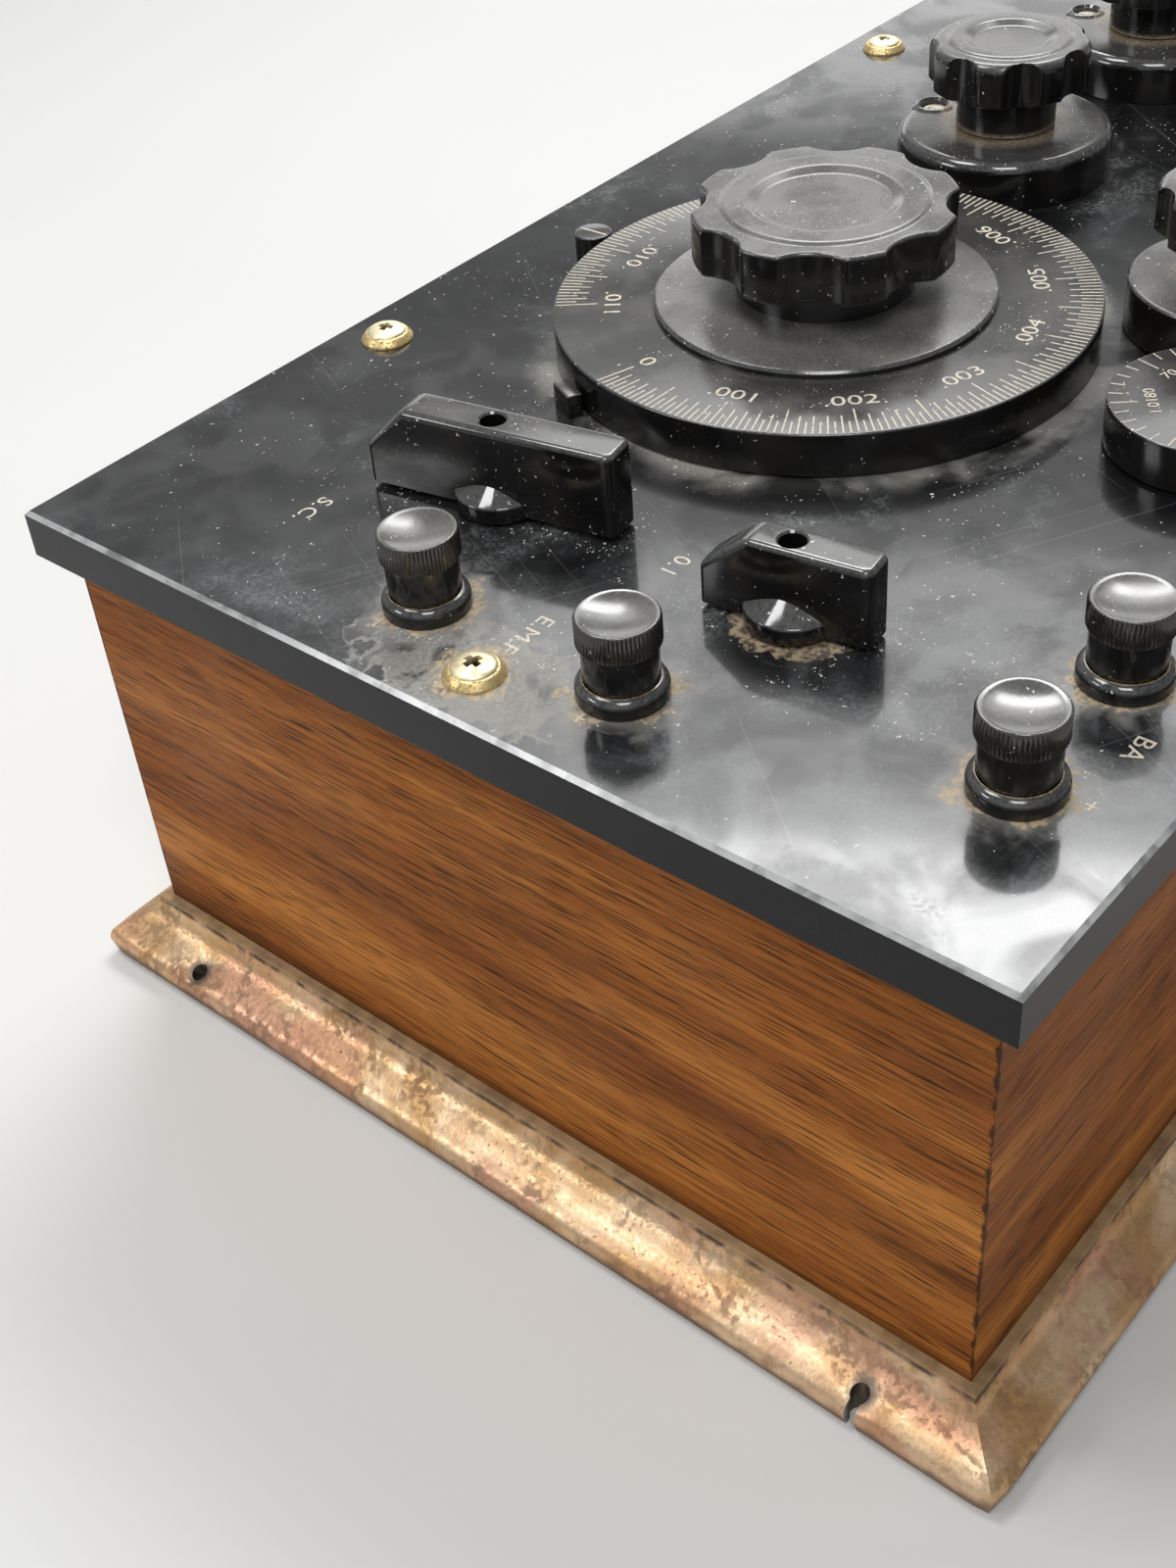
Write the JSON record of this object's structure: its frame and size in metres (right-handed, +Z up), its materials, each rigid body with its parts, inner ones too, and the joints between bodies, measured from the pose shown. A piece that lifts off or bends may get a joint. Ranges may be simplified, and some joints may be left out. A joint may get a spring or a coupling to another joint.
{
  "type": "laboratory potentiometer",
  "caption": "Low wooden instrument case under a black panel with a large slide-wire dial, fluted decade and rheostat knobs, bar switches and binding posts, for measuring small voltages.",
  "frame": {"origin": "centre of the underside of the base moulding", "axes": "+X to the user's right, -Y to the front edge that faces the user, +Z up"},
  "size_m": [0.4224, 0.2572, 0.1638],
  "materials": {
    "black_rubber": "polished, clouded by age",
    "bakelite": "polished, dusty",
    "mahogany": "varnished",
    "bronzed_wood": "worn bronze paint",
    "brass": "tarnished",
    "ivory": "aged"
  },
  "bodies": {
    "case": {"bottom_board": "mahogany", "base_moulding_front": "bronzed_wood", "base_moulding_back": "bronzed_wood", "base_moulding_left": "bronzed_wood", "base_moulding_right": "bronzed_wood", "wall_front": "mahogany", "wall_back": "mahogany", "wall_left": "mahogany", "wall_right": "mahogany", "panel": "black_rubber", "panel_screws": "brass", "panel_screw_cups": "brass", "slide_wire_drum": "black_rubber", "slide_wire_wire": "brass", "slide_wire_index": "bakelite", "slide_wire_stop": "black_rubber", "decade_1_cover": "bakelite", "decade_2_cover": "bakelite", "decade_stud_plates": "black_rubber", "decade_studs": "brass", "shaft_bushes": "brass", "standard_cell_resistor": "bakelite", "rheostat_bodies": "bakelite", "switch_decks": "black_rubber", "post_collars": "bakelite", "post_studs": "brass", "key_contacts": "brass"},
    "slide_wire": {"slide_wire_dial": "black_rubber", "slide_wire_skirt": "bakelite", "slide_wire_knob": "bakelite", "slide_wire_shaft": "brass", "slide_wire_wiper": "brass"},
    "decade_1": {"decade_1_number_dial": "ivory", "decade_1_knob": "bakelite", "decade_1_shaft": "brass", "decade_1_brush": "brass"},
    "decade_2": {"decade_2_number_dial": "ivory", "decade_2_knob": "bakelite", "decade_2_shaft": "brass", "decade_2_brush": "brass"},
    "standard_cell": {"standard_cell_dial": "black_rubber", "standard_cell_shaft": "brass"},
    "rheostat_coarse": {"rheostat_coarse_knob": "bakelite", "rheostat_coarse_shaft": "brass"},
    "rheostat_fine": {"rheostat_fine_knob": "bakelite", "rheostat_fine_shaft": "brass"},
    "selector": {"selector_bar": "bakelite", "selector_shaft": "brass"},
    "range": {"range_bar": "bakelite", "range_shaft": "brass"},
    "emf_plus": {"emf_plus_cap": "bakelite"},
    "emf_minus": {"emf_minus_cap": "bakelite"},
    "battery_plus": {"battery_plus_cap": "bakelite"},
    "battery_minus": {"battery_minus_cap": "bakelite"},
    "cell_plus": {"cell_plus_cap": "bakelite"},
    "cell_minus": {"cell_minus_cap": "bakelite"},
    "galvanometer_left": {"galvanometer_left_cap": "bakelite"},
    "galvanometer_right": {"galvanometer_right_cap": "bakelite"},
    "key_coarse": {"key_coarse": "bakelite"},
    "key_fine": {"key_fine": "bakelite"}
  },
  "joints": [
    {"name": "slide_wire_turn", "type": "hinge", "parent": "case", "child": "slide_wire", "pos_m": [0.0499, -0.0216, 0.1298], "axis": [0, 0, 1], "range_deg": [-35, 289]},
    {"name": "decade_1_turn", "type": "hinge", "parent": "case", "child": "decade_1", "pos_m": [-0.129, -0.0347, 0.1298], "axis": [0, 0, 1], "range_deg": [-140, 160]},
    {"name": "decade_2_turn", "type": "hinge", "parent": "case", "child": "decade_2", "pos_m": [-0.0508, -0.0356, 0.1298], "axis": [0, 0, 1], "range_deg": [-150, 150]},
    {"name": "standard_cell_turn", "type": "hinge", "parent": "case", "child": "standard_cell", "pos_m": [0.0455, 0.0719, 0.1298], "axis": [0, 0, 1], "range_deg": [-150, 150]},
    {"name": "rheostat_coarse_turn", "type": "hinge", "parent": "case", "child": "rheostat_coarse", "pos_m": [-0.0025, 0.0529, 0.1298], "axis": [0, 0, 1], "range_deg": [-150, 150]},
    {"name": "rheostat_fine_turn", "type": "hinge", "parent": "case", "child": "rheostat_fine", "pos_m": [-0.0665, 0.0529, 0.1298], "axis": [0, 0, 1], "range_deg": [-150, 150]},
    {"name": "selector_turn", "type": "hinge", "parent": "case", "child": "selector", "pos_m": [0.1439, -0.0367, 0.1298], "axis": [0, 0, 1], "range_deg": [-30, 30]},
    {"name": "range_turn", "type": "hinge", "parent": "case", "child": "range", "pos_m": [0.1439, 0.0367, 0.1298], "axis": [0, 0, 1], "range_deg": [-30, 30]},
    {"name": "emf_plus_screw", "type": "hinge", "parent": "case", "child": "emf_plus", "pos_m": [0.1793, 0.0244, 0.1298], "axis": [0, 0, 1], "continuous": true},
    {"name": "emf_minus_screw", "type": "hinge", "parent": "case", "child": "emf_minus", "pos_m": [0.1793, -0.0244, 0.1298], "axis": [0, 0, 1], "continuous": true},
    {"name": "battery_plus_screw", "type": "hinge", "parent": "case", "child": "battery_plus", "pos_m": [0.162, 0.09515, 0.1298], "axis": [0, 0, 1], "continuous": true},
    {"name": "battery_minus_screw", "type": "hinge", "parent": "case", "child": "battery_minus", "pos_m": [0.1255, 0.09515, 0.1298], "axis": [0, 0, 1], "continuous": true},
    {"name": "cell_plus_screw", "type": "hinge", "parent": "case", "child": "cell_plus", "pos_m": [-0.1793, -0.0244, 0.1298], "axis": [0, 0, 1], "continuous": true},
    {"name": "cell_minus_screw", "type": "hinge", "parent": "case", "child": "cell_minus", "pos_m": [-0.1793, 0.0244, 0.1298], "axis": [0, 0, 1], "continuous": true},
    {"name": "galvanometer_left_screw", "type": "hinge", "parent": "case", "child": "galvanometer_left", "pos_m": [-0.162, 0.09515, 0.1298], "axis": [0, 0, 1], "continuous": true},
    {"name": "galvanometer_right_screw", "type": "hinge", "parent": "case", "child": "galvanometer_right", "pos_m": [-0.1255, 0.09515, 0.1298], "axis": [0, 0, 1], "continuous": true},
    {"name": "key_coarse_press", "type": "slide", "parent": "case", "child": "key_coarse", "axis": [0, 0, -1], "range_m": [0, 0.003], "stiffness_N_per_m": 350, "springref_m": -0.002},
    {"name": "key_fine_press", "type": "slide", "parent": "case", "child": "key_fine", "axis": [0, 0, -1], "range_m": [0, 0.003], "stiffness_N_per_m": 350, "springref_m": -0.002}
  ]
}
